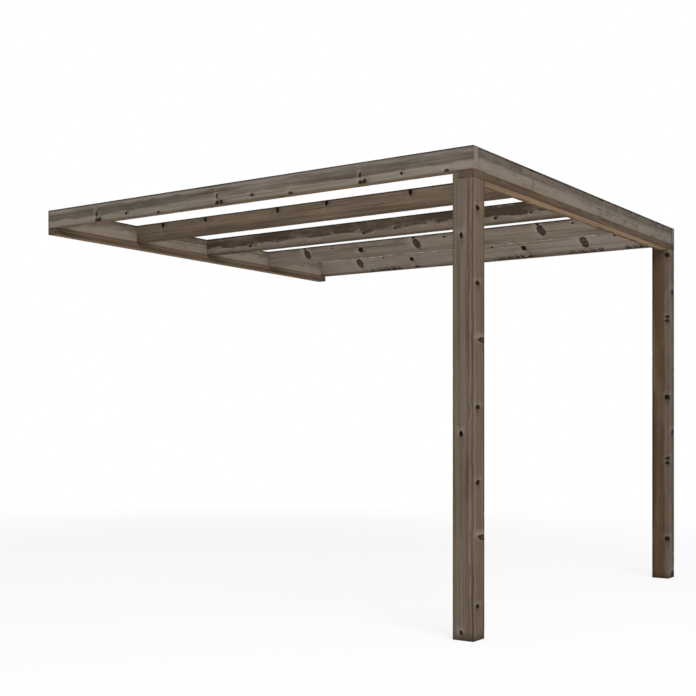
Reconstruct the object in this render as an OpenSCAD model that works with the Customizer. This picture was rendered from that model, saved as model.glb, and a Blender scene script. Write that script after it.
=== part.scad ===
// Lean-to pergola of planed timber: two front posts carry a level frame of boards
// whose back board is fastened to a building.
// The origin is the centre of the back face of the ledger.
// +X runs to the right seen from the front, +Y runs into the mounting face, +Z is up.

/* [Overall size] */
// Width over the outer faces of the side boards
frame_w = 3000; // [2000:10:4500]
// Depth from the mounting face to the front face
frame_d = 3130; // [1800:10:4500]
// Height from the ground to the top of the boards
frame_h = 2480; // [2000:10:3200]

/* [Posts] */
// Side of the square posts
post_side = 120; // [90:1:160]
// Thickness of the tongue that stands behind the front bearer at a post's head
tongue_t = 35; // [15:1:60]

/* [Roof frame] */
// Height of every board of the roof frame
board_h = 120; // [90:1:200]
// Thickness of the side boards, the front board and the rafters
board_t = 55; // [35:1:75]
// Thickness of the ledger at the back
ledger_t = 70; // [50:1:100]
// Depth of the housings in the ledger that take the rafters
housing_depth = 20; // [10:1:30]
// Room left on each side of a rafter in its housing
housing_gap = 0.5; // [0.3:0.1:2]

/* [Bearers] */
// Height of the front bearer and of the back bearer
bearer_h = 40; // [30:1:60]
// Depth of the back bearer, from the mounting face
back_bearer_d = 75; // [55:1:110]

/* [Edges] */
// Radius of the rounded long edges of every timber
arris_r = 3; // [1:0.5:5]

/* [Hidden] */

rafter_names = ["rafter_left", "rafter_middle", "rafter_right"];
bay_count = len(rafter_names) + 1;

// Levels, measured from the middle of the boards
boards_top = board_h / 2;
boards_bottom = boards_top - board_h;
bearers_bottom = boards_bottom - bearer_h;
ground = boards_top - frame_h;

// Places across the front and from back to front
left_face = -frame_w / 2;
right_face = frame_w / 2;
front_face = -frame_d;
front_bearer_d = post_side - tongue_t;
between_rims = frame_w - 2 * board_t;
rafter_step = (frame_w - board_t) / bay_count;
rafter_back = housing_depth - ledger_t;
rafter_length = frame_d - board_t + rafter_back;

// How far a cutter reaches past the faces that it opens
cut_past = 10;

post_tone = [0.42, 0.38, 0.34];
rim_tone = [0.48, 0.45, 0.41];
rafter_tone = [0.38, 0.34, 0.29];
bearer_tone = [0.32, 0.27, 0.21];

$fn = 48;

// A rectangle with rounded corners: the section of a planed timber
module timber_section(width, height) {
    translate([arris_r, 0])
        square([width - 2 * arris_r, height]);
    translate([0, arris_r])
        square([width, height - 2 * arris_r]);
    for (x = [arris_r, width - arris_r], y = [arris_r, height - arris_r])
        translate([x, y])
            circle(r = arris_r);
}

// A timber that runs to the right from its lower left corner at the back or front
module timber_across(length, depth, height) {
    rotate([90, 0, 90])
        linear_extrude(height = length)
            timber_section(depth, height);
}

// A timber that runs from the back towards the front
module timber_forward(length, width, height) {
    rotate([90, 0, 0])
        linear_extrude(height = length)
            timber_section(width, height);
}

// The left post: a rebate across its head takes the front bearer, and the tongue
// left behind it reaches the side board
module post() {
    difference() {
        translate([left_face, front_face, ground])
            linear_extrude(height = boards_bottom - ground)
                timber_section(post_side, post_side);
        translate([left_face - cut_past, front_face - cut_past, bearers_bottom])
            cube([
                post_side + 2 * cut_past,
                front_bearer_d + cut_past,
                bearer_h + cut_past
            ]);
    }
}

// A side board, which runs the whole depth and shows its end at the front
module side_rim(outer_left) {
    translate([outer_left, 0, boards_bottom])
        timber_forward(frame_d, board_t, board_h);
}

function rafter_left_face(index) = left_face + (index + 1) * rafter_step;

// A rafter, housed in the ledger at the back and standing on the front bearer
module rafter(index) {
    translate([rafter_left_face(index), rafter_back, boards_bottom])
        timber_forward(rafter_length, board_t, board_h);
}

module left_post() {
    color(post_tone)
        post();
}

module right_post() {
    color(post_tone)
        mirror([1, 0, 0])
            post();
}

module front_bearer() {
    color(bearer_tone)
        translate([left_face, front_face, bearers_bottom])
            timber_across(frame_w, front_bearer_d, bearer_h);
}

module back_bearer() {
    color(bearer_tone)
        translate([left_face, -back_bearer_d, bearers_bottom])
            timber_across(frame_w, back_bearer_d, bearer_h);
}

module left_rim() {
    color(rim_tone)
        side_rim(left_face);
}

module right_rim() {
    color(rim_tone)
        side_rim(right_face - board_t);
}

module front_rim() {
    color(rim_tone)
        translate([left_face + board_t, front_face, boards_bottom])
            timber_across(between_rims, board_t, board_h);
}

// The back board, with an upright housing for each rafter, open above and below
module back_ledger() {
    color(rim_tone)
        difference() {
            translate([left_face + board_t, -ledger_t, boards_bottom])
                timber_across(between_rims, ledger_t, board_h);
            for (index = [0 : len(rafter_names) - 1])
                translate([
                    rafter_left_face(index) - housing_gap,
                    -ledger_t - cut_past,
                    boards_bottom - cut_past
                ])
                    cube([
                        board_t + 2 * housing_gap,
                        housing_depth + cut_past,
                        board_h + 2 * cut_past
                    ]);
        }
}

module rafter_left() {
    color(rafter_tone)
        rafter(0);
}

module rafter_middle() {
    color(rafter_tone)
        rafter(1);
}

module rafter_right() {
    color(rafter_tone)
        rafter(2);
}

left_post();
right_post();
front_bearer();
back_bearer();
left_rim();
right_rim();
front_rim();
back_ledger();
rafter_left();
rafter_middle();
rafter_right();
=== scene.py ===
"""Looks of a lean-to pergola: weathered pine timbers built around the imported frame."""
import math
import random
from collections import namedtuple

import bpy
import numpy as np
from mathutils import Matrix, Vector, noise


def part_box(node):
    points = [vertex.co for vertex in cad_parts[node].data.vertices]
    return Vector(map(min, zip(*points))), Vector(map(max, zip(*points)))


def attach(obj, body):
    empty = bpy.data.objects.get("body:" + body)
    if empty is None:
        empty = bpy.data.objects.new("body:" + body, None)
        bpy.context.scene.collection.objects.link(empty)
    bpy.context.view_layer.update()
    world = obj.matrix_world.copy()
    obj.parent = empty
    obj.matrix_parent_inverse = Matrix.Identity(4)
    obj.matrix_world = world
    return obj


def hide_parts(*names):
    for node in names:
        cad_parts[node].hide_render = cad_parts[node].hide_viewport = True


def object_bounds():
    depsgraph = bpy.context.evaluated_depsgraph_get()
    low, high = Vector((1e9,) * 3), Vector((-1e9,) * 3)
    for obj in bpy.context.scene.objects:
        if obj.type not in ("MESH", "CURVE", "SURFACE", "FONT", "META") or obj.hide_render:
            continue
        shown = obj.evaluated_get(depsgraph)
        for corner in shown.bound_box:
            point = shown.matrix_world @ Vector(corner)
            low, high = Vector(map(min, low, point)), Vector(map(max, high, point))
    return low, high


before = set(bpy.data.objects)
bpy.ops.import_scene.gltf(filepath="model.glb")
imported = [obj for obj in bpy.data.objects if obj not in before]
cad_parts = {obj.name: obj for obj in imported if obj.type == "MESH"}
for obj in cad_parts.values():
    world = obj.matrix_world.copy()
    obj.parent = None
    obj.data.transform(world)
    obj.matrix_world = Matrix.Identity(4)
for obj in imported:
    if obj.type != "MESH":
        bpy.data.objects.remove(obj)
cad_low, cad_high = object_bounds()

# Axes of the frame, and the six ways that a timber's face can look
X, Y, Z = 0, 1, 2
FACES = {
    "left": (X, -1),
    "right": (X, 1),
    "front": (Y, -1),
    "back": (Y, 1),
    "under": (Z, -1),
    "top": (Z, 1),
}

# Places closer than this are one place, in metres
TINY = 1e-6

# Shape of the timbers, in metres
ARRIS_RADIUS = 0.004
ARRIS_STEPS = 4
# The painted shade along an arris fades out over the next width
ARRIS_FADE = 0.010
LINE_SPACING = 0.022
RING_SPACING = 0.016
SHARP_ANGLE = math.radians(40)
END_EASE = 0.0015
# The painted shade round a whole end fades out over the next border
END_BORDER = 0.010
CHECK_LIP = 0.0011
CHECK_DEPTH = 0.006
CHECK_WANDER = 0.004
SKIN_RIPPLE = 0.0005
ARRIS_WEAR = 0.0011

# Drying checks start and run for shares of a timber's length, and stray from even places, in metres
CHECK_STARTS = (0.05, 0.6)
CHECK_LENGTHS = (0.12, 0.3)
CHECK_STRAY = 0.006

# They keep this far from a side's edges, and one or two of them need this much room
CHECK_CLEAR = 0.02
ROOM_FOR_ONE_CHECK = 0.012
ROOM_FOR_TWO_CHECKS = 0.03

# How often the ripples of the faces and the nicks of the arrises vary per metre
RIPPLE_SCALE = 11.0
NICK_SCALE = 26.0

# Rain reaches this far round a post's front corner, and damp this far up it, in metres
RAIN_REACH = 0.032
DAMP_HEIGHT = 0.04

# Bark left on a waney edge: its full height, the height over which it fades, and its depth
WANE_FULL = 0.0095
WANE_FADE = 0.019
WANE_DEPTH = 0.006

# Knots come back along a timber about as far apart as the whorls of branches on the stem.
# Each time they vary in place, in metres, in size and in tilt, in degrees
WHORL_SPACING = 1.0
KNOT_SHIFT = 0.004
KNOT_SIZES = (0.9, 1.12)
KNOT_TURN = 6

# A knot comes out on the far side this far along at the most, and paler
KNOT_SLOPE = 0.03
KNOT_FADE = 0.85

# Where no knot is given: the first one, the steps, the spread of sizes and half a usual one's size
LOOSE_STARTS = (0.1, 0.4)
LOOSE_STEPS = (0.3, 0.6)
LOOSE_SIZES = (0.6, 1.4)
LOOSE_LONG = 0.011
LOOSE_WIDE = 0.008
LOOSE_DARK = (0.6, 0.9)

# Knots and bands that aren't given keep to this share of a side's half width
SIDE_SPREAD = 0.8

# Growth rings, their waves and the pith's slow wander along a timber, in metres
GROWTH_RING = 0.0042
RING_WAVE = 0.008
PITH_WANDER = 0.05
KNOT_BULGE = 0.012

# How far a band's border drifts and runs out in lobes, in metres
BAND_DRIFT = 0.012
BAND_LOBES = 0.14

# Bark's teeth per metre, and the height of the grain's relief in metres
BARK_TEETH = 45.0
RELIEF_HEIGHT = 0.0008

# Noises drawn out along the grain: how often each varies along it and across it per metre,
# its detail and its roughness
GRAIN_NOISES = {
    "warp": (3.0, 16.0, 3.0, 0.55),
    "lumps": (9.0, 20.0, 3.0, 0.6),
    "pores": (60.0, 190.0, 2.0, 0.5),
    "blots": (75.0, 85.0, 2.0, 0.55),
    "fibre": (7.0, 420.0, 3.0, 0.6),
    "streaks": (0.7, 55.0, 4.0, 0.6),
    "lines": (1.6, 150.0, 2.0, 0.5),
    "patches": (2.6, 13.0, 3.0, 0.55),
}

# Countersunk screws through the boards into the bearers, in metres
SCREW_RADIUS = 0.0065
SCREW_HEIGHT = 0.002
SCREW_DRIVE = 0.0034
SCREW_LOBES = 6
SCREW_LOBE_DEPTH = 0.68
SCREW_SIDES = 20
SCREW_PAIR = 0.028


def linear(*rgb):
    """A colour written as sRGB from 0 to 255, as the linear colour that sockets take."""
    shares = [c / 255 for c in rgb]
    return (*[s / 12.92 if s <= 0.04045 else ((s + 0.055) / 1.055) ** 2.4 for s in shares], 1.0)


class Value:
    """One output socket of a node tree: arithmetic on it adds Math nodes."""

    def __init__(self, tree, socket):
        self.tree = tree
        self.socket = socket

    def output(self, name):
        return Value(self.tree, self.socket.node.outputs[name])

    def __add__(self, other):
        return self.tree.math("ADD", self, other)

    def __sub__(self, other):
        return self.tree.math("SUBTRACT", self, other)

    def __rsub__(self, other):
        return self.tree.math("SUBTRACT", other, self)

    def __mul__(self, other):
        return self.tree.math("MULTIPLY", self, other)

    def __truediv__(self, other):
        return self.tree.math("DIVIDE", self, other)

    def __rtruediv__(self, other):
        return self.tree.math("DIVIDE", other, self)

    def __pow__(self, power):
        return self.tree.math("POWER", self, power)

    def __rpow__(self, base):
        return self.tree.math("POWER", base, self)

    def __neg__(self):
        return self.tree.math("MULTIPLY", self, -1.0)

    __radd__ = __add__
    __rmul__ = __mul__


class Tree:
    """Adds nodes to a node tree, and links them."""

    def __init__(self, node_tree):
        self.node_tree = node_tree

    def node(self, kind, settings=None, inputs=None, output=0):
        """Adds a node, sets it up, fills or links its inputs and gives one of its outputs."""
        made = self.node_tree.nodes.new(kind)
        for name, value in (settings or {}).items():
            setattr(made, name, value)
        for key, value in (inputs or {}).items():
            if isinstance(value, Value):
                self.node_tree.links.new(value.socket, made.inputs[key])
            else:
                made.inputs[key].default_value = value
        return Value(self, made.outputs[output]) if made.outputs else None

    def feed(self, node, inputs):
        """Links values to the inputs of a node that is already there."""
        for key, value in inputs.items():
            self.node_tree.links.new(value.socket, node.inputs[key])

    def math(self, operation, *values):
        return self.node("ShaderNodeMath", {"operation": operation}, dict(enumerate(values)))

    def attribute(self, name, output="Fac"):
        return self.node("ShaderNodeAttribute", {"attribute_name": name}, output=output)

    def axes(self, vector):
        first = self.node("ShaderNodeSeparateXYZ", inputs={0: vector})
        return first, first.output(1), first.output(2)

    def stretched(self, vector, factors):
        return self.node("ShaderNodeVectorMath", {"operation": "MULTIPLY"}, {0: vector, 1: factors})

    def noise(self, vector, detail=2.0, rough=0.5, output="Fac"):
        inputs = {"Vector": vector, "Scale": 1.0, "Detail": detail, "Roughness": rough}
        return self.node("ShaderNodeTexNoise", {"noise_dimensions": "3D"}, inputs, output)

    def smooth(self, value, low, high):
        """0 below low and 1 above high, with a soft step between them; low may be the larger."""
        settings = {"interpolation_type": "SMOOTHSTEP"}
        return self.node("ShaderNodeMapRange", settings, {"Value": value, "From Min": low, "From Max": high})

    def bell(self, value):
        """A bell curve: 1 where the value is 0, and close to 0 past 2."""
        return self.math("EXPONENT", value * value * -0.8)

    def bump(self, height, strength, distance):
        inputs = {"Strength": strength, "Distance": distance, "Height": height}
        return self.node("ShaderNodeBump", inputs=inputs)

    def mix(self, factor, first, second, blend="MIX"):
        settings = {"data_type": "RGBA", "blend_type": blend}
        return self.node("ShaderNodeMix", settings, {0: factor, 6: first, 7: second}, 2)


def knot_masks(tree, blots):
    """What the knots of both channels do at a point, as shares from 0 to 1.
    A fully dark knot is black all over; a paler one shows its own rings inside a rim of bark."""
    names = ("bulge", "body", "bark", "halo", "smear", "rings")
    masks = dict.fromkeys(names, 0.0)
    for channel in ("knot_a", "knot_b"):
        along, across, dark = tree.axes(tree.attribute(channel, "Vector"))
        distance = (along ** 2 + across ** 2) ** 0.5 + (blots - 0.5) * 1.1
        beside = ((along - 1.4) ** 2 + (across * 0.7) ** 2) ** 0.5
        inside = tree.smooth(distance, 1.15, 0.85)
        there = tree.smooth(dark, 0.0, 0.2)
        pale = 1 - dark
        shares = (
            tree.bell(distance / 2.4) * there,
            inside * (dark + pale * tree.bell(distance / 0.35)),
            tree.bell((distance - 0.95) / 0.26) * there,
            (tree.bell(beside * 0.7) * 0.8 + tree.bell((distance - 1.6) / 0.4) * pale * 0.4) * there,
            tree.bell(along / 3.5) * tree.bell(across / 0.9) * dark,
            tree.smooth(tree.math("SINE", distance * 14.0), 0.0, 0.8) * inside * pale,
        )
        for name, share in zip(names, shares):
            masks[name] = share + masks[name]
    return masks


class Pine:
    """Planed pine left to grey: growth rings round the timber's own pith, knots, drying checks and
    lengthwise streaks, grey where rain and sun reach it and brown where it is sheltered.
    That brown also paints warm bounce light on undersides and shade on inner faces."""

    def __init__(self, tree, palette):
        self.tree = tree
        self.palette = [linear(*colour) for colour in palette]
        self.grain = tree.attribute("grain", "Vector")
        self.shelter_and_painted_light = tree.attribute("shelter_and_painted_light")
        self.figure = tree.attribute("figure")
        self.cloud = tree.attribute("cloud")
        self.end_grain = tree.attribute("end_grain")
        self.edge = tree.attribute("edge")
        self.crack = tree.attribute("crack")
        self.noises = {}
        for name, (along, across, detail, rough) in GRAIN_NOISES.items():
            drawn_out = tree.stretched(self.grain, (along, across, across))
            self.noises[name] = tree.noise(drawn_out, detail, rough)
        self.knots = knot_masks(tree, self.noises["blots"])
        self.late_wood = self.late_wood_share()

    def late_wood_share(self):
        """Where the dark late wood of the growth rings is. The pith wanders, so the rings come out
        on a face as long loops and arches, and they swell round the knots."""
        tree = self.tree
        _, across, upward = tree.axes(self.grain)
        wander = tree.noise(tree.stretched(self.grain, (0.9, 0.0, 0.0)), 1.5, 0.5, "Color")
        wander_across, wander_upward, _ = tree.axes(wander)
        from_pith = across + (wander_across - 0.5) * PITH_WANDER
        above_pith = upward + (wander_upward - 0.5) * PITH_WANDER
        radius = (from_pith ** 2 + above_pith ** 2) ** 0.5
        ring_place = radius + (self.noises["warp"] - 0.5) * RING_WAVE + self.knots["bulge"] * KNOT_BULGE
        phase = tree.math("FRACT", ring_place / GROWTH_RING)
        return tree.smooth(phase, 0.4, 0.9) * tree.smooth(phase, 1.0, 0.94)

    def band(self, channel, soft):
        """A band along a face: its share, and the share of the fringe just outside it.
        Its border is drawn out at knots, and runs in lobes where the wood is figured."""
        tree = self.tree
        place, strength, scale = tree.axes(tree.attribute(channel, "Vector"))
        lobes = (self.noises["lumps"] - 0.5) * self.figure * BAND_LOBES
        drift = (self.noises["warp"] - 0.5) * BAND_DRIFT + lobes + self.knots["bulge"] * KNOT_BULGE
        from_middle = tree.math("ABSOLUTE", place + drift * scale)
        share = tree.smooth(from_middle, 1.0 + soft, 1.0 - soft)
        return share * strength, tree.bell((from_middle - 1.25) * 5.0) * strength

    def ground(self):
        """The wood before its lines and knots: sap wood with bands of heart wood and of paler wood."""
        tree = self.tree
        sap, heart, warm_sap, warm_heart = self.palette[:4]
        soft = 0.36 - self.figure * 0.26
        dark_band, fringe = self.band("dark_band", soft)
        light_band, _ = self.band("light_band", soft + 0.2)
        blotched = self.figure * 2.2 + self.cloud * 2.5
        uneven = (self.noises["patches"] - 0.5) * 1.5 + (self.noises["lumps"] - 0.5) * blotched
        deep_share = dark_band * (0.25 + self.noises["streaks"] * 1.25) + uneven
        # Faces kept from rain and sun turn warm brown: partly less greying, partly painted warm bounce light
        # on undersides and painted shade on inner faces
        pale = tree.mix(self.shelter_and_painted_light, sap, warm_sap)
        deep = tree.mix(self.shelter_and_painted_light, heart, warm_heart)
        glow = tree.mix(self.shelter_and_painted_light, linear(142, 128, 110), linear(160, 130, 98))
        colour = tree.mix(deep_share, pale, deep)
        colour = tree.mix(light_band * 0.75, colour, glow)
        lobed = fringe * self.figure * tree.smooth(self.noises["lumps"], 0.42, 0.6)
        return tree.mix(lobed * 0.75, colour, linear(146, 136, 124))

    def marks(self):
        """What lies over the ground, from the lowest layer up: each has its share and its colour."""
        smooth, knots, noises = self.tree.smooth, self.knots, self.noises
        streak, end_wood = self.palette[4:]
        knot_wood = self.tree.mix(smooth(noises["blots"], 0.45, 0.62), linear(9, 6, 4), linear(46, 32, 23))
        rings = 0.35 - self.figure * 0.2 + self.end_grain * 0.3
        return (
            (self.late_wood * rings, streak),
            (smooth(noises["streaks"], 0.52, 0.72) * (0.6 - self.figure * 0.3 - self.cloud * 0.3), streak),
            (smooth(noises["streaks"], 0.46, 0.28) * 0.2, linear(150, 140, 128)),
            (smooth(noises["lines"], 0.55, 0.68) * (0.4 - self.cloud * 0.25), streak),
            (noises["fibre"] * 0.2, streak),
            (smooth(noises["lumps"], 0.52, 0.68) * self.cloud * 0.24, linear(156, 147, 136)),
            (smooth(noises["lumps"], 0.48, 0.34) * self.cloud * 0.36, streak),
            (smooth(noises["warp"], 0.5, 0.75) * 0.28, linear(122, 104, 86)),
            (knots["halo"] * (0.6 - self.shelter_and_painted_light * 0.45), linear(152, 139, 124)),
            (knots["smear"] * noises["streaks"] * 1.1, linear(52, 38, 27)),
            (knots["body"], knot_wood),
            (knots["rings"] * 0.6, linear(58, 42, 31)),
            (knots["bark"] * 0.9, linear(16, 11, 8)),
            (self.end_grain * 0.5, end_wood),
            # Painted shade along the arrises and round the ends: shadow lines where timbers meet and at
            # their outlines
            (self.edge * (0.55 + noises["patches"] * 0.7), linear(28, 22, 18)),
            (self.bark_teeth(), linear(24, 18, 15)),
            (self.tree.attribute("damp") * (noises["patches"] * 0.5 + 0.45), linear(40, 33, 26)),
            # The open checks are painted near black: painted shade inside the cracks
            (self.crack, linear(26, 20, 15)),
        )

    def bark_teeth(self):
        """Slanted remains of bark along a waney edge."""
        along, across, _ = self.tree.axes(self.grain)
        slant = self.tree.node("ShaderNodeCombineXYZ", inputs={0: (along - across) * BARK_TEETH})
        return self.tree.attribute("wane") * self.tree.smooth(self.tree.noise(slant, 1.0, 0.4), 0.47, 0.53)

    def colour(self):
        colour = self.ground()
        for share, layer in self.marks():
            colour = self.tree.mix(share, colour, layer)
        tone = self.tree.attribute("tone")
        shade = self.tree.node("ShaderNodeCombineColor", inputs={0: tone, 1: tone, 2: tone})
        return self.tree.mix(1.0, colour, shade, "MULTIPLY")

    def roughness(self):
        return 0.72 + self.noises["fibre"] * 0.16 + self.edge * 0.06 - self.knots["body"] * 0.18

    def normal(self):
        """Raised late wood and fibres, proud knots in sunken bark, and open cracks."""
        relief = self.late_wood * 0.5 + self.noises["fibre"] * 0.6 + self.noises["pores"] * 0.35
        height = relief + self.knots["body"] * 0.5 - self.knots["bark"] * 0.8 - self.crack * 1.5
        return self.tree.bump(height, 0.55, RELIEF_HEIGHT)


def new_material(name):
    """A material's node tree and its shader."""
    material = bpy.data.materials.new(name)
    material.use_nodes = True
    return material, Tree(material.node_tree), material.node_tree.nodes["Principled BSDF"]


def weathered_pine(name, palette):
    material, tree, shader = new_material(name)
    pine = Pine(tree, palette)
    tree.feed(shader, {"Base Color": pine.colour(), "Roughness": pine.roughness(), "Normal": pine.normal()})
    shader.inputs["Specular IOR Level"].default_value = 0.03
    return material


def dull_zinc(name):
    """Zinc-plated steel that has been out in the rain: grey and blotched, with a little rust."""
    material, tree, shader = new_material(name)
    place = tree.node("ShaderNodeTexCoord", output="Object")
    blotches = tree.noise(tree.stretched(place, (300.0, 300.0, 300.0)), 3.0, 0.6)
    rust = tree.smooth(tree.noise(tree.stretched(place, (140.0, 140.0, 140.0)), 3.0, 0.6), 0.55, 0.7)
    colour = tree.mix(blotches, linear(120, 120, 118), linear(168, 168, 164))
    colour = tree.mix(rust * 0.8, colour, linear(104, 62, 38))
    inputs = {
        "Base Color": colour,
        "Metallic": 0.9 - rust * 0.8,
        "Roughness": 0.35 + blotches * 0.25 + rust * 0.3,
        "Normal": tree.bump(blotches, 0.4, 0.0002),
    }
    tree.feed(shader, inputs)
    return material


def new_object(name, data):
    """An object that is in the scene."""
    made = bpy.data.objects.new(name, data)
    bpy.context.scene.collection.objects.link(made)
    return made


def store(mesh, name, domain, values):
    """Keeps a number or a vector for each point, corner or face of a mesh."""
    values = np.array(values, np.float32)
    kind, field = ("FLOAT", "value") if values.ndim == 1 else ("FLOAT_VECTOR", "vector")
    mesh.attributes.new(name, kind, domain).data.foreach_set(field, values.ravel())


Knot = namedtuple("Knot", "at across long wide tilt dark")
NO_KNOT = Knot(-9, 0, 0.01, 0.01, 0, 0)


class Check(namedtuple("Check", "lateral start end seed")):
    """A drying check: a crack along the grain on one side of a timber."""

    def opening(self, along):
        """How open the crack is, from 0 to 1, at a place along the timber."""
        share = (along - self.start) / (self.end - self.start)
        if not 0 < share < 1:
            return 0.0
        uneven = 0.75 + 0.5 * noise.noise(Vector((along * 9, self.seed, 0)))
        return min(1.0, math.sin(math.pi * share) ** 0.6 * uneven)

    def wander(self, along):
        return CHECK_WANDER * noise.noise(Vector((along * 4, self.seed, 3)))


class Section:
    """The outline of a timber's section: a rectangle with rounded arrises, as points in order round it.
    Side 0 looks to minus v, side 1 to plus u, side 2 to plus v and side 3 to minus u."""

    def __init__(self, width, height, cuts, checks):
        halves = (width / 2, height / 2)
        self.points, self.sides, self.laterals, self.edges, self.check_parts = [], [], [], [], []
        for side in range(4):
            half = halves[side % 2]
            for lateral, check_part in self.side_lines(half, cuts.get(side, ()), checks.get(side, ())):
                at_edge = half - abs(lateral) < ARRIS_RADIUS + TINY
                self.add(self.place(side, lateral, halves), side, lateral, float(at_edge), check_part)
            for step in range(1, ARRIS_STEPS):
                share = step / ARRIS_STEPS
                turn = math.radians(90 * (side + share - 1))
                corner = self.place(side, half - ARRIS_RADIUS, halves, ARRIS_RADIUS)
                out = (ARRIS_RADIUS * math.cos(turn), ARRIS_RADIUS * math.sin(turn))
                point = (corner[0] + out[0], corner[1] + out[1])
                if share <= 0.5:
                    self.add(point, side, half, 1.0, None)
                else:
                    self.add(point, (side + 1) % 4, -halves[(side + 1) % 2], 1.0, None)

    @staticmethod
    def place(side, lateral, halves, sunk=0.0):
        """A point on a side, given how far along the side it is and how deep it is sunk."""
        out = halves[(side + 1) % 2] - sunk
        return ((lateral, -out), (out, lateral), (-lateral, out), (-out, -lateral))[side]

    @staticmethod
    def side_lines(half, cuts, checks):
        """Lengthwise lines on one side: even ones, and those that cuts and checks need."""
        end = half - ARRIS_RADIUS
        inner = end - ARRIS_FADE
        count = max(2, round(2 * inner / LINE_SPACING) + 1)
        fixed = [(cut, None) for cut in cuts]
        for index, check in enumerate(checks):
            fixed += [(check.lateral + part * CHECK_LIP, (index, part)) for part in (-1, 0, 1)]
        even = [-end, *np.linspace(-inner, inner, count), end]
        room = CHECK_WANDER + 2 * CHECK_LIP
        kept = [x for x in even if abs(x) > end - TINY or all(abs(x - f) > room for f, _ in fixed)]
        return sorted([(x, None) for x in kept] + fixed, key=lambda line: line[0])

    def add(self, point, side, lateral, edge, check_part):
        self.points.append(point)
        self.sides.append(side)
        self.laterals.append(lateral)
        self.edges.append(edge)
        self.check_parts.append(check_part)


class Notch(namedtuple("Notch", "face depth start end")):
    """Wood cut away from one face of a timber between two places along it."""

    def span(self, timber):
        low = timber.low[timber.axes[0]]
        return self.start - low, self.end - low

    def covers(self, timber, along):
        start, end = self.span(timber)
        return start < along < end

    def plane(self, timber):
        """Which section coordinate the cut's floor lies on, its value and the cut's direction."""
        axis, sign = FACES[self.face]
        column = 0 if axis == timber.axes[1] else 1
        return column, sign * (timber.size[axis] / 2 - self.depth), sign

    def cut_lines(self, timber):
        """Lines that the two neighbouring sides need at the cut's floor."""
        column, value, _ = self.plane(timber)
        sides = (0, 2) if column == 0 else (1, 3)
        return {side: [value if side < 2 else -value] for side in sides}

    def is_cut(self, timber, point):
        column, value, sign = self.plane(timber)
        return sign * (point[column] - value) > TINY

    def kept(self, timber, section):
        return [i for i, point in enumerate(section.points) if not self.is_cut(timber, point)]

    def removed(self, timber, section):
        """The cut part of the outline in order, with the two points on the cut's floor at its ends."""
        count = len(section.points)
        cut = [self.is_cut(timber, point) for point in section.points]
        start = next(i for i in range(count) if cut[i] and not cut[i - 1])
        return [(start + step) % count for step in range(-1, sum(cut) + 1)]


# How a timber looks where its own values don't say otherwise
USUAL_LOOKS = {
    "tone": 1.0,
    "figure": 0.0,
    "cloud": 0.0,
    # How dark the painted shade is along the upper and lower arrises and round the two ends
    "top_edge": 1.0,
    "low_edge": 0.3,
    "end_edges": (0.3, 0.3),
    "shelter_and_painted_light": {},
    "wane": (),
    "notches": (),
}


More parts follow.
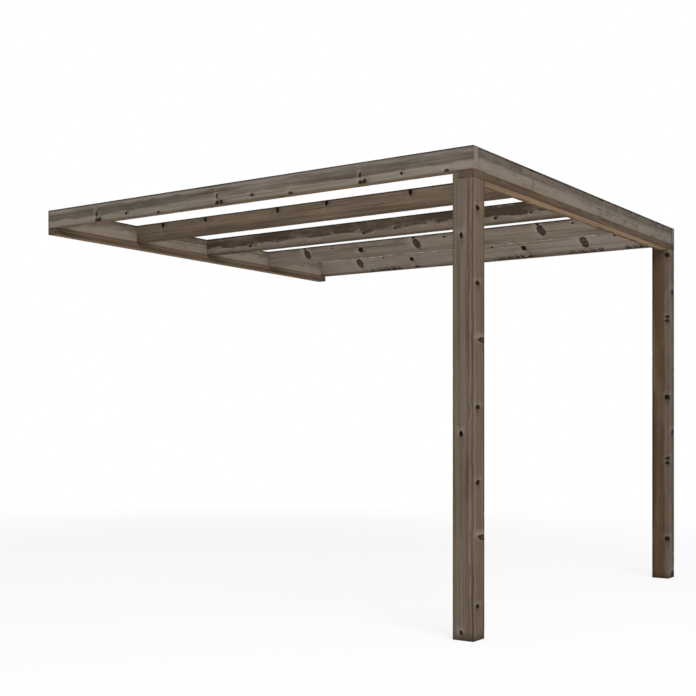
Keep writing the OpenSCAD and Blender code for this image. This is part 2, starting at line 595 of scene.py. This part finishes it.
class Timber:
    """One timber: its place from the frame, and what its wood looks like.
    Knots, bands and the bark's edge are given by face, in the frame's own places."""

    def __init__(self, node, slot, along, pith, **looks):
        self.node = node
        self.slot = slot
        self.axes = (along, (along + 1) % 3, (along + 2) % 3)
        self.low, self.high = (np.array(corner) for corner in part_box(node))
        self.middle = (self.low + self.high) / 2
        self.size = self.high - self.low
        self.length = self.size[along]
        self.pith = np.array(pith)
        for name, usual in USUAL_LOOKS.items():
            setattr(self, name, looks.get(name, usual))
        self.random = random.Random(node)
        self.knots = self.all_knots(looks.get("knots", {}))
        self.dark_bands = self.all_bands(looks.get("dark", {}), 0.7)
        self.light_bands = self.all_bands(looks.get("light", {}), 0.3)
        self.checks = self.all_checks()

    def side_of(self, face):
        """The section's side that looks the way of a named face."""
        axis, sign = FACES[face]
        if axis == self.axes[1]:
            return 1 if sign > 0 else 3
        return 2 if sign > 0 else 0

    def half(self, side):
        """Half the width of one side of the section."""
        return self.size[self.axes[1 + side % 2]] / 2

    def lateral(self, side, place):
        """Where a place across the timber, in the frame, falls along a side of the section."""
        axis = self.axes[1 + side % 2]
        return (place - self.middle[axis]) * (1 if side < 2 else -1)

    def all_knots(self, seen):
        """Knots on the four sides: those given come back with each whorl, and go through the timber."""
        start = self.low[self.axes[0]]
        vary = self.random.uniform
        sides = {side: [] for side in range(4)}
        for face, pattern in seen.items():
            side = self.side_of(face)
            for place, across, long, wide, tilt, dark in pattern:
                first = (place - start) % WHORL_SPACING
                for repeat in range(int((self.length - first) / WHORL_SPACING) + 1):
                    at = first + repeat * WHORL_SPACING + vary(-KNOT_SHIFT, KNOT_SHIFT)
                    size = vary(*KNOT_SIZES)
                    turn = math.radians(tilt + vary(-KNOT_TURN, KNOT_TURN))
                    lateral = self.lateral(side, across)
                    knot = Knot(at, lateral, long * size, wide * size, turn, dark)
                    sides[side].append(knot)
                    through = at + vary(-KNOT_SLOPE, KNOT_SLOPE)
                    behind = knot._replace(at=through, across=-lateral, tilt=-turn, dark=dark * KNOT_FADE)
                    sides[(side + 2) % 4].append(behind)
        given = {self.side_of(face) for face in seen}
        for side, knots in sides.items():
            if side not in given and not knots:
                knots.extend(self.loose_knots(side))
            knots.sort()
        return sides

    def loose_knots(self, side):
        """Knots here and there along a side that the photograph doesn't show."""
        vary = self.random.uniform
        at = vary(*LOOSE_STARTS)
        while at < self.length:
            size = vary(*LOOSE_SIZES)
            across = vary(-SIDE_SPREAD, SIDE_SPREAD) * self.half(side)
            yield Knot(at, across, LOOSE_LONG * size, LOOSE_WIDE * size, 0.0, vary(*LOOSE_DARK))
            at += vary(*LOOSE_STEPS)

    def all_bands(self, seen, strength):
        """One band for each side: its middle, half its width and how strong it is."""
        given = {self.side_of(face): values for face, values in seen.items()}
        bands = []
        for side in range(4):
            half = self.half(side)
            if side in given:
                place, width, share = given[side]
                bands.append((self.lateral(side, place), width, share))
            else:
                place = self.random.uniform(-SIDE_SPREAD, SIDE_SPREAD) * half
                width = self.random.uniform(0.2, 0.5) * half
                bands.append((place, width, strength * self.random.uniform(0.5, 1)))
        return bands

    def all_checks(self):
        """A few drying checks on each side, clear of the arrises."""
        sides = {}
        for side in range(4):
            room = self.half(side) - CHECK_CLEAR
            count = 2 if room > ROOM_FOR_TWO_CHECKS else int(room > ROOM_FOR_ONE_CHECK)
            sides[side] = []
            for place in np.linspace(-room, room, count + 2)[1:-1]:
                start = self.random.uniform(*CHECK_STARTS) * self.length
                end = min(start + self.random.uniform(*CHECK_LENGTHS) * self.length, self.length)
                lateral = place + self.random.uniform(-CHECK_STRAY, CHECK_STRAY)
                sides[side].append(Check(lateral, start, end, self.random.uniform(0, 90)))
        return sides

    def mesh(self):
        """The timber as a mesh with the attributes that its wood reads."""
        _, width, height = (self.size[axis] for axis in self.axes)
        cuts = self.notches[0].cut_lines(self) if self.notches else {}
        section = Section(width, height, cuts, self.checks)
        count = len(section.points)
        rings = self.ring_places()
        local = np.zeros((len(rings), count, 3))
        crack = np.zeros((len(rings), count))
        for j, (along, ease) in enumerate(rings):
            for i, (u, v) in enumerate(section.points):
                if section.check_parts[i]:
                    side = section.sides[i]
                    index, part = section.check_parts[i]
                    check = self.checks[side][index]
                    opening = check.opening(along)
                    crack[j, i] = opening if part == 0 else 0.0
                    lateral = check.lateral + check.wander(along) + part * CHECK_LIP * (0.3 + opening)
                    u, v = Section.place(side, lateral, (width / 2, height / 2), CHECK_DEPTH * crack[j, i])
                local[j, i] = (along, u * (1 - 2 * ease / width), v * (1 - 2 * ease / height))
        quads, caps = self.faces(rings, section)
        return self.finished_mesh(section, rings, local, crack, quads, caps)

    def ring_places(self):
        """Places of the outlines along the timber, each with how far its outline is drawn in.
        A whole end has one more outline, drawn in further, for the border of the end's face."""
        fixed = [END_EASE, self.length - END_EASE]
        for notch in self.notches:
            fixed += [place for place in notch.span(self) if END_EASE < place < self.length - END_EASE]
        even = np.linspace(0, self.length, round(self.length / RING_SPACING) + 1)[1:-1]
        inner = sorted([x for x in even if all(abs(x - f) > RING_SPACING / 3 for f in fixed)] + fixed)
        rings = [(0.0, END_EASE), *[(place, 0.0) for place in inner], (self.length, END_EASE)]
        if not self.cut_at(END_EASE / 2):
            rings.insert(0, (0.0, END_BORDER))
        if not self.cut_at(self.length - END_EASE / 2):
            rings.append((self.length, END_BORDER))
        return rings

    def cut_at(self, along):
        """The notch that covers a place along the timber, if one does."""
        return next((notch for notch in self.notches if notch.covers(self, along)), None)

    def faces(self, rings, section):
        """Quads along the sides, and caps across the grain at the ends and in the notches."""
        count = len(section.points)
        whole = list(range(count))
        quads, caps = [], []
        before, gone = None, None
        for j in range(len(rings) - 1):
            notch = self.cut_at((rings[j][0] + rings[j + 1][0]) / 2)
            kept = notch.kept(self, section) if notch else whole
            for i, k in zip(kept, kept[1:] + kept[:1]):
                quads.append((j * count + i, j * count + k, (j + 1) * count + k, (j + 1) * count + i))
            if before is None:
                caps.append([j * count + i for i in reversed(kept)])
            elif kept != before:
                step = [j * count + i for i in (notch or gone).removed(self, section)]
                caps.append(step if notch else step[::-1])
            before, gone = kept, notch
        caps.append([(len(rings) - 1) * count + i for i in before])
        return quads, caps

    def finished_mesh(self, section, rings, local, crack, quads, caps):
        used = np.unique(np.concatenate([np.ravel(quads), *[np.array(cap) for cap in caps]]))
        renumber = {int(old): new for new, old in enumerate(used)}
        faces = [[renumber[int(i)] for i in face] for face in [*quads, *caps]]
        flat = local.reshape(-1, 3)[used]
        places = np.zeros_like(flat)
        centre = (self.low[self.axes[0]], self.middle[self.axes[1]], self.middle[self.axes[2]])
        for column, axis in enumerate(self.axes):
            places[:, axis] = flat[:, column] + centre[column]
        mesh = bpy.data.meshes.new(self.node)
        mesh.from_pydata(places.tolist(), [], faces)
        mesh.update()
        edges = np.tile(section.edges, len(rings))[used]
        self.add_point_attributes(mesh, flat, places, edges, crack.reshape(-1)[used])
        count = len(section.points)
        at_end = [rings[quad[0] // count][0] == rings[quad[2] // count][0] for quad in quads]
        store(mesh, "end_grain", "FACE", at_end + [True] * len(caps))
        self.add_corner_attributes(mesh, section, rings, quads)
        mesh.polygons.foreach_set("use_smooth", [not end for end in at_end] + [False] * len(caps))
        mesh.set_sharp_from_angle(angle=SHARP_ANGLE)
        return mesh

    def add_point_attributes(self, mesh, flat, places, edges, crack):
        normals = np.array([vertex.normal for vertex in mesh.vertices])
        # How sheltered each face is: the wood greys less there, and the same share paints warm bounce light
        # on undersides and shade on inner faces
        shelter_and_painted_light = np.zeros(len(places))
        rain_kept_off = np.clip((places[:, Y] - self.low[Y]) / RAIN_REACH, 0, 1) ** 2
        for face, amount in self.shelter_and_painted_light.items():
            axis, sign = FACES[face]
            share = amount * np.clip(normals[:, axis] * sign, 0, 1) ** 2
            shelter_and_painted_light += share * rain_kept_off if (self.axes[0], axis) == (Z, X) else share
        wane = np.zeros(len(places))
        for start, end in self.wane:
            inside = (places[:, Y] > min(start, end)) & (places[:, Y] < max(start, end))
            inside &= places[:, X] < self.low[X] + WANE_DEPTH
            lowest = 1 - (places[:, Z] - self.low[Z] - WANE_FULL) / WANE_FADE
            wane += np.where(inside, np.clip(lowest, 0, 1), 0)
        columns = {
            "shelter_and_painted_light": shelter_and_painted_light,
            "damp": np.clip(1 - (places[:, Z] - cad_low.z) / DAMP_HEIGHT, 0, 1),
            "arris": edges,
            "wane": wane,
            "crack": crack,
        }
        for name in ("tone", "figure", "cloud"):
            columns[name] = np.full(len(places), getattr(self, name))
        for name, values in columns.items():
            store(mesh, name, "POINT", values)
        pith = [self.pith[axis] for axis in self.axes[1:]]
        offset = np.array([self.random.uniform(0, 40), -pith[0], -pith[1]])
        store(mesh, "grain", "POINT", flat + offset)

    def add_corner_attributes(self, mesh, section, rings, quads):
        """Each corner's place relative to the nearest knots and to the bands of its side, and how dark the
        painted shade along its edges is.
        """
        count = len(section.points)
        corners = {"knot_a": [], "knot_b": [], "dark_band": [], "light_band": []}
        edge = []
        for quad in quads:
            ring, point = divmod(quad[0], count)
            side = section.sides[point]
            middle = (rings[ring][0] + rings[ring + 1][0]) / 2
            at_end = rings[ring][0] == rings[ring + 1][0]
            ends = ((ring, point), (ring, quad[1] % count), (ring + 1, quad[1] % count), (ring + 1, point))
            places = []
            for j, i in ends:
                lateral = section.laterals[i] if section.sides[i] == side else self.half(side)
                places.append((rings[j][0], lateral))
                edge.append(self.edge_shade_share(section, side, i, rings[j], at_end))
            for parity, channel in enumerate(("knot_a", "knot_b")):
                nearby = self.knots[side][parity::2]
                knot = min(nearby, key=lambda k: abs(k.at - middle), default=NO_KNOT)
                cos, sin = math.cos(knot.tilt), math.sin(knot.tilt)
                for along, lateral in places:
                    ahead, aside = along - knot.at, lateral - knot.across
                    lengthwise = (cos * ahead + sin * aside) / knot.long
                    crosswise = (cos * aside - sin * ahead) / knot.wide
                    corners[channel].append((lengthwise, crosswise, knot.dark))
            for channel, bands in (("dark_band", self.dark_bands), ("light_band", self.light_bands)):
                place, width, share = bands[side]
                corners[channel] += [((lateral - place) / width, share, 1 / width) for _, lateral in places]
        on_caps = len(mesh.loops) - len(edge)
        for name, values in corners.items():
            store(mesh, name, "CORNER", values + [(9.0, 0.0, 0.0)] * on_caps)
        store(mesh, "edge", "CORNER", edge + [0.0] * on_caps)

    def edge_shade_share(self, section, side, point, ring, at_end):
        """How dark the painted shade along an edge is, standing for shadow lines where timbers meet and at
        their outlines: the most along the upper edges, seen from the side.
        """
        end_edge = self.end_edges[int(ring[0] > self.length / 2)]
        if at_end:
            return end_edge if ring[1] == END_EASE else 0.0
        share = section.edges[point]
        if self.axes[0] == Z or side == self.side_of("top"):
            share *= self.low_edge
        else:
            height = section.points[point][self.axes.index(Z) - 1]
            share *= self.top_edge if height > 0 else self.low_edge
        at_last_ring = min(ring[0], self.length - ring[0]) < END_EASE + TINY
        return max(share, end_edge) if at_last_ring else share


def new_group(name, inputs):
    """An empty Geometry Nodes tree with named inputs and one geometry output."""
    group = bpy.data.node_groups.new(name, "GeometryNodeTree")
    for socket, kind in inputs.items():
        group.interface.new_socket(socket, in_out="INPUT", socket_type="NodeSocket" + kind)
    group.interface.new_socket("Geometry", in_out="OUTPUT", socket_type="NodeSocketGeometry")
    tree = Tree(group)
    return tree, tree.node("NodeGroupInput")


def end_group(tree, geometry, material):
    """Realizes what the tree made, gives it its material and hands it out."""
    solid = tree.node("GeometryNodeRealizeInstances", inputs={0: geometry})
    dressed = tree.node("GeometryNodeSetMaterial", inputs={"Geometry": solid, "Material": material})
    tree.node("NodeGroupOutput", inputs={0: dressed})
    return tree.node_tree


def skin_group():
    """Sinks a timber's faces a little, in shallow ripples, and wears nicks into its arrises."""
    inputs = {"Timber": "Geometry", "Ripple": "Float", "Wear": "Float", "Seed": "Float", "Wood": "Material"}
    tree, given = new_group("weathered_skin", inputs)
    place = tree.node("GeometryNodeInputPosition")
    normal = tree.node("GeometryNodeInputNormal")
    edge = tree.node("GeometryNodeInputNamedAttribute", {"data_type": "FLOAT"}, {"Name": "arris"})
    noises = []
    for scale in (RIPPLE_SCALE, NICK_SCALE):
        inputs = {"Vector": place, "W": given.output("Seed"), "Scale": scale, "Detail": 3.0}
        noises.append(tree.node("ShaderNodeTexNoise", {"noise_dimensions": "4D"}, inputs))
    nicks = tree.smooth(noises[1], 0.5, 0.75) * edge
    depth = noises[0] * given.output("Ripple") + nicks * given.output("Wear")
    offset = tree.node("ShaderNodeVectorMath", {"operation": "SCALE"}, {0: normal, "Scale": -depth})
    sunk = tree.node("GeometryNodeSetPosition", inputs={"Geometry": given, "Offset": offset})
    return end_group(tree, sunk, given.output("Wood"))


def screw_group():
    """Sets a flat screw head with a six-lobed drive on each point, each turned its own way."""
    sizes = {"Radius": "Float", "Height": "Float", "Drive": "Float"}
    tree, given = new_group("screw_heads", {"Points": "Geometry", **sizes, "Metal": "Material"})
    height = given.output("Height")
    inputs = {"Vertices": SCREW_SIDES, "Radius": given.output("Radius"), "Depth": height}
    head = tree.node("GeometryNodeMeshCylinder", inputs=inputs)
    drive = given.output("Drive")
    inputs = {"Points": SCREW_LOBES, "Inner Radius": drive * SCREW_LOBE_DEPTH, "Outer Radius": drive}
    star = tree.node("GeometryNodeCurveStar", inputs=inputs)
    star_face = tree.node("GeometryNodeFillCurve", inputs={"Curve": star})
    up = tree.node("ShaderNodeCombineXYZ", inputs={2: height})
    inputs = {"Mesh": star_face, "Offset": up, "Offset Scale": 1.0}
    star_solid = tree.node("GeometryNodeExtrudeMesh", inputs=inputs)
    turned_over = tree.node("GeometryNodeFlipFaces", inputs={0: star_face})
    cutter = tree.node("GeometryNodeJoinGeometry", inputs={0: star_solid})
    tree.node_tree.links.new(turned_over.socket, cutter.socket.node.inputs[0])
    settings = {"operation": "DIFFERENCE", "solver": "EXACT"}
    drilled = tree.node("GeometryNodeMeshBoolean", settings, {"Mesh 1": head, "Mesh 2": cutter})
    down = tree.node("ShaderNodeCombineXYZ", inputs={2: height * -0.5})
    seated = tree.node("GeometryNodeTransform", inputs={"Geometry": drilled, "Translation": down})
    settings = {"data_type": "FLOAT"}
    angle = tree.node("FunctionNodeRandomValue", settings, {"Min": 0.0, "Max": 6.28, "Seed": 5}, "Value")
    turn = tree.node("ShaderNodeCombineXYZ", inputs={2: angle})
    inputs = {"Points": given, "Instance": seated, "Rotation": turn}
    heads = tree.node("GeometryNodeInstanceOnPoints", inputs=inputs)
    return end_group(tree, heads, given.output("Metal"))


def grown(name, mesh, group, settings):
    """A piece whose mesh is what a Geometry Nodes tree makes of another mesh."""
    piece = new_object(name, mesh)
    modifier = piece.modifiers.new("grown", "NODES")
    modifier.node_group = group
    for item in group.interface.items_tree:
        if item.in_out == "INPUT" and item.name in settings:
            modifier[item.identifier] = settings[item.name]
    depsgraph = bpy.context.evaluated_depsgraph_get()
    final = piece.evaluated_get(depsgraph)
    made = bpy.data.meshes.new_from_object(final, preserve_all_data_layers=True, depsgraph=depsgraph)
    piece.modifiers.clear()
    piece.data = made
    return piece


# Joints: the post heads are notched for the front bearer, and the ledger for the rafters
RAFTERS = ("rafter_left", "rafter_middle", "rafter_right")
bearer_low, bearer_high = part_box("front_bearer")
post_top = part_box("left_post")[1].z
head_notch = Notch("front", bearer_high.y - bearer_low.y, bearer_low.z, post_top + END_EASE)
ledger_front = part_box("back_ledger")[0].y
housings = []
for rafter in RAFTERS:
    rafter_low, rafter_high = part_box(rafter)
    housings.append(Notch("front", rafter_high.y - ledger_front, rafter_low.x, rafter_high.x))

# Tone is how light a timber's wood is, figure how lobed its bands are and cloud how blotched it is
# Knots are place along, place across, half length, half width, tilt and darkness
# Bands along a face are place, half width and strength
# Shelter is how brown the faces kept from rain and sun are, and also paints warm bounce light on undersides
# and shade on inner faces
# Top, low and end edge shades set the painted shade along the arrises and round the ends
timbers = [
    Timber(
        "left_post", "post_wood", Z, (-0.03, -0.04, 0),
        figure=0.2,
        shelter_and_painted_light={"right": 0.8, "back": 0.7, "front": 0.35},
        knots={
            "left": [
                (-0.382, -3.060, 0.012, 0.008, -10, 1.0),
            ],
            "front": [
                (-0.246, -1.456, 0.010, 0.018, 0, 1.0),
                (-0.629, -1.455, 0.010, 0.018, 0, 1.0),
                (-0.912, -1.380, 0.011, 0.055, 6, 0.35),
            ],
        },
        dark={"left": (-3.111, 0.019, 0.65), "front": (-1.391, 0.007, 0.9)},
        light={"left": (-3.112, 0.006, 0.5), "front": (-1.486, 0.008, 0.45)},
        notches=[head_notch],
    ),
    Timber(
        "right_post", "post_wood", Z, (0.03, -0.03, 0),
        tone=0.95,
        # The inner face is painted a darker brown: painted shade on the far post's inside
        shelter_and_painted_light={"left": 1.0, "back": 0.7},
        knots={
            "left": [
                (-0.139, -3.118, 0.014, 0.014, 0, 1.0),
                (-0.570, -3.120, 0.008, 0.013, 0, 0.9),
                (-0.604, -3.120, 0.008, 0.013, 0, 0.9),
            ],
            "front": [
                (-0.139, 1.388, 0.016, 0.020, 0, 1.0),
                (-0.570, 1.388, 0.010, 0.016, 0, 0.9),
                (-0.604, 1.390, 0.010, 0.016, 0, 0.9),
                (-0.392, 1.458, 0.018, 0.020, 0, 1.0),
            ],
        },
        dark={"left": (-3.022, 0.007, 1.0), "front": (1.462, 0.012, 0.8)},
        light={"left": (-3.122, 0.006, 0.1), "front": (1.42, 0.015, 0.1)},
        notches=[head_notch],
    ),
    Timber(
        "front_bearer", "bearer_wood", X, (0, 0.03, 0.06),
        tone=0.97,
        figure=0.4,
        top_edge=0.35,
        low_edge=0.15,
        end_edges=(0.45, 0.6),
        # The underside's pale orange is painted bounce light
        shelter_and_painted_light={"under": 1.0, "back": 0.8},
        knots={"front": [], "under": []},
        dark={"front": (-0.092, 0.024, 1.0), "under": (-3.060, 0.018, 0.9)},
        light={"front": (-0.072, 0.004, 0.0), "under": (-3.110, 0.018, 0.7)},
    ),
    Timber(
        "back_bearer", "bearer_wood", X, (0, 0.0, 0.06),
        tone=0.95,
        top_edge=0.1,
        low_edge=0.1,
        end_edges=(0.5, 0.5),
        shelter_and_painted_light={"under": 0.7, "front": 0.15},
        knots={"front": []},
        dark={"front": (-0.094, 0.02, 1.0)},
        light={"front": (-0.08, 0.02, 0.0)},
    ),
    Timber(
        "left_rim", "rim_wood", Y, (0, 0, 0.1),
        figure=0.3,
        end_edges=(0.2, 0.9),
        shelter_and_painted_light={"under": 1.0, "right": 0.5},
        knots={
            "left": [
                (-0.476, -0.046, 0.012, 0.013, 0, 0.75),
                (-0.453, -0.048, 0.011, 0.011, 0, 0.75),
                (-0.447, -0.008, 0.007, 0.014, 0, 0.5),
                (-0.710, -0.031, 0.008, 0.007, 0, 0.9),
                (-0.980, -0.055, 0.012, 0.011, 0, 0.7),
            ],
        },
        dark={"left": (0.010, 0.027, 0.8)},
        light={"left": (-0.035, 0.02, 0.3)},
    ),
    Timber(
        "right_rim", "rim_wood", Y, (0, 0, 0.11),
        tone=0.92,
        figure=0.2,
        top_edge=0.25,
        end_edges=(1.0, 0.3),
        shelter_and_painted_light={"under": 1.0, "left": 0.15},
        knots={
            "left": [
                (-0.472, 0.019, 0.038, 0.020, 50, 0.45),
                (-0.705, 0.044, 0.007, 0.006, 0, 0.8),
                (-0.978, 0.015, 0.017, 0.013, 40, 1.0),
                (-1.030, -0.054, 0.016, 0.010, 0, 0.9),
            ],
        },
        dark={"left": (-0.052, 0.010, 0.5)},
        light={"left": (0.03, 0.02, 0.2)},
        wane=[(-0.58, -0.90), (-1.74, -2.0), (-2.36, -2.62), (-2.78, -3.0)],
    ),
    Timber(
        "front_rim", "rim_wood", X, (0, 0.04, 0.11),
        tone=0.84,
        figure=0.3,
        cloud=1.0,
        low_edge=0.0,
        shelter_and_painted_light={"under": 1.0, "back": 0.5},
        knots={
            "front": [
                (-0.843, 0.054, 0.012, 0.007, 0, 0.9),
                (-0.706, 0.055, 0.009, 0.006, 0, 0.9),
                (0.178, 0.052, 0.011, 0.008, 0, 0.9),
            ],
        },
        dark={"front": (0.082, 0.078, 1.0)},
        light={"front": (-0.068, 0.056, 0.5)},
    ),
    Timber(
        "back_ledger", "rim_wood", X, (0, 0.06, 0.05),
        tone=0.88,
        figure=0.8,
        shelter_and_painted_light={"under": 1.0, "front": 0.2},
        knots={"front": []},
        dark={"front": (0.035, 0.034, 0.7)},
        light={"front": (-0.03, 0.02, 0.3)},
        notches=housings,
    ),
    Timber(
        "rafter_left", "rafter_wood", Y, (0, 0, 0.03),
        tone=0.93,
        shelter_and_painted_light={"under": 1.0, "left": 0.7, "right": 0.5},
        knots={
            "left": [
                (-0.316, 0.043, 0.010, 0.020, 0, 1.0),
                (-0.706, 0.043, 0.010, 0.020, 0, 1.0),
            ],
        },
        dark={"left": (-0.042, 0.018, 0.45)},
        light={"left": (-0.005, 0.012, 0.2)},
    ),
    Timber(
        "rafter_middle", "rafter_wood", Y, (0, 0, 0.06),
        tone=0.89,
        figure=0.8,
        shelter_and_painted_light={"under": 1.0, "left": 0.25, "right": 0.3},
        knots={
            "left": [
                (-0.490, -0.027, 0.009, 0.007, 0, 0.8),
                (-0.737, -0.015, 0.007, 0.006, 0, 0.8),
            ],
        },
        dark={"left": (0.028, 0.038, 1.0)},
        light={"left": (-0.03, 0.014, 0.2)},
    ),
    Timber(
        "rafter_right", "rafter_wood", Y, (0, 0, 0.12),
        figure=0.4,
        low_edge=0.0,
        shelter_and_painted_light={"under": 0.5, "left": 0.05, "right": 0.3},
        knots={
            "left": [
                (-0.465, 0.001, 0.038, 0.020, 50, 0.45),
                (-0.432, 0.052, 0.013, 0.010, 40, 0.8),
                (-0.700, 0.030, 0.007, 0.006, 0, 0.8),
                (-0.975, -0.004, 0.017, 0.013, 40, 1.0),
            ],
        },
        dark={"left": (0.055, 0.012, 0.3)},
        # The pale band on the underside is painted light: it makes the shaded underside as bright as a lit
        # face
        light={"left": (0.0, 0.028, 0.35), "under": (0.736, 0.03, 0.8)},
    ),
]

# Colours of each slot's wood: sap wood and heart wood in the open, the same two under shelter,
# the streaks, and the ends
# The colours under shelter also carry painted light: warm bounce light on undersides and shade on inner
# faces; the bearers' pale orange is painted bounce light
PALETTES = {
    "post_wood": ((107, 95, 84), (80, 66, 51), (85, 67, 49), (62, 46, 32), (66, 53, 42), (110, 98, 86)),
    "rim_wood": ((133, 125, 116), (88, 79, 70), (132, 108, 84), (92, 74, 56), (68, 59, 50), (112, 103, 94)),
    "rafter_wood": ((116, 107, 97), (66, 56, 47), (108, 91, 72), (70, 56, 43), (58, 48, 39), (118, 106, 94)),
    "bearer_wood": ((100, 85, 71), (82, 67, 54), (168, 141, 114), (102, 79, 58), (66, 53, 42), (78, 67, 51)),
}
wood = {slot: weathered_pine(slot, palette) for slot, palette in PALETTES.items()}

skin = skin_group()
for seed, timber in enumerate(timbers):
    settings = {"Ripple": SKIN_RIPPLE, "Wear": ARRIS_WEAR, "Seed": float(seed), "Wood": wood[timber.slot]}
    piece = grown(timber.node + "_timber", timber.mesh(), skin, settings)
    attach(piece, "root")
    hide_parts(timber.node)

# Two screws go down through each board where it crosses a bearer
screw_places = []
bearers = [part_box("front_bearer"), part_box("back_bearer")]
for board in ("left_rim", *RAFTERS, "right_rim"):
    board_low, board_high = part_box(board)
    middle_x = (board_low.x + board_high.x) / 2
    for low, high in bearers:
        middle_y = (max(low.y, board_low.y) + min(high.y, board_high.y)) / 2
        for step in (-SCREW_PAIR / 2, SCREW_PAIR / 2):
            screw_places.append((middle_x + step / 2, middle_y + step, cad_high.z))
points = bpy.data.meshes.new("screw_places")
points.from_pydata(screw_places, [], [])
settings = {
    "Radius": SCREW_RADIUS,
    "Height": SCREW_HEIGHT,
    "Drive": SCREW_DRIVE,
    "Metal": dull_zinc("screw_zinc"),
}
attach(grown("board_screws", points, screw_group(), settings), "root")

# Camera at the photograph's place: level, with the view shifted up
CAMERA_PLACE = (-6.593, -5.872, -1.338)
CAMERA_TURN = -55.483
CAMERA_SENSOR = 36.0
CAMERA_LENS = 59.70
CAMERA_SHIFT_ACROSS = 0.0005
CAMERA_SHIFT_UP = 0.1107

camera = new_object("camera", bpy.data.cameras.new("camera"))
camera.location = CAMERA_PLACE
camera.rotation_euler = (math.radians(90), 0, math.radians(CAMERA_TURN))
camera.data.sensor_width = CAMERA_SENSOR
camera.data.lens = CAMERA_LENS
camera.data.shift_x = CAMERA_SHIFT_ACROSS
camera.data.shift_y = CAMERA_SHIFT_UP
bpy.context.scene.camera = camera


# Plain pale floor, which fades into the backdrop away from the object
FLOOR_REACH = 40.0
FLOOR_WHITE = 0.75
FLOOR_NEAR = 3.0
FLOOR_FAR = 8.0


def seen_directly(tree):
    """1 for what the camera sees itself, in gloss or through glass, and 0 for light on the object."""
    path = tree.node("ShaderNodeLightPath", output="Is Camera Ray")
    mirrored = path.output("Is Glossy Ray") + path.output("Is Transmission Ray")
    return tree.math("MINIMUM", path + mirrored, 1.0)


def floor_paint(name):
    """Pale paint that the camera sees almost white, and quite white away from the object."""
    material, tree, shader = new_material(name)
    shader.inputs["Base Color"].default_value = (0.8, 0.8, 0.8, 1)
    shader.inputs["Roughness"].default_value = 0.9
    place = tree.node("ShaderNodeTexCoord", output="Object")
    distance = tree.node("ShaderNodeVectorMath", {"operation": "LENGTH"}, {0: place}, "Value")
    white = FLOOR_WHITE + tree.smooth(distance, FLOOR_NEAR, FLOOR_FAR) * (1 - FLOOR_WHITE)
    glow = tree.node("ShaderNodeEmission", inputs={"Strength": 1.0})
    inputs = {0: seen_directly(tree) * white, 1: Value(tree, shader.outputs[0]), 2: glow}
    surface = tree.node("ShaderNodeMixShader", inputs=inputs)
    tree.feed(material.node_tree.nodes["Material Output"], {"Surface": surface})
    return material


floor_mesh = bpy.data.meshes.new("floor")
corners = [(-1, -1), (1, -1), (1, 1), (-1, 1)]
floor_places = [(x * FLOOR_REACH, y * FLOOR_REACH, cad_low.z) for x, y in corners]
floor_mesh.from_pydata(floor_places, [], [(0, 1, 2, 3)])
floor_mesh.materials.append(floor_paint("pale_floor"))
floor = new_object("floor", floor_mesh)

# Soft studio light: an even sky that the camera sees as white, and one large lamp at the front left
SKY_LEVEL = 0.7
world = bpy.data.worlds.new("studio")
bpy.context.scene.world = world
world.use_nodes = True
sky = Tree(world.node_tree)
backdrop = world.node_tree.nodes["Background"]
backdrop.inputs["Color"].default_value = (1, 1, 1, 1)
sky.feed(backdrop, {"Strength": SKY_LEVEL + seen_directly(sky) * (1 - SKY_LEVEL)})

LAMP_PLACE = Vector((-6.0, -9.0, 6.0))
LAMP_AIM = Vector((0.0, -1.5, -1.0))
LAMP_SIZE = 6.0
LAMP_POWER = 900.0
lamp = new_object("key_lamp", bpy.data.lights.new("key_lamp", "AREA"))
lamp.data.size = LAMP_SIZE
lamp.data.energy = LAMP_POWER
lamp.location = LAMP_PLACE
lamp.rotation_euler = (LAMP_AIM - LAMP_PLACE).to_track_quat("-Z", "Y").to_euler()

bpy.context.scene.view_settings.view_transform = "Standard"
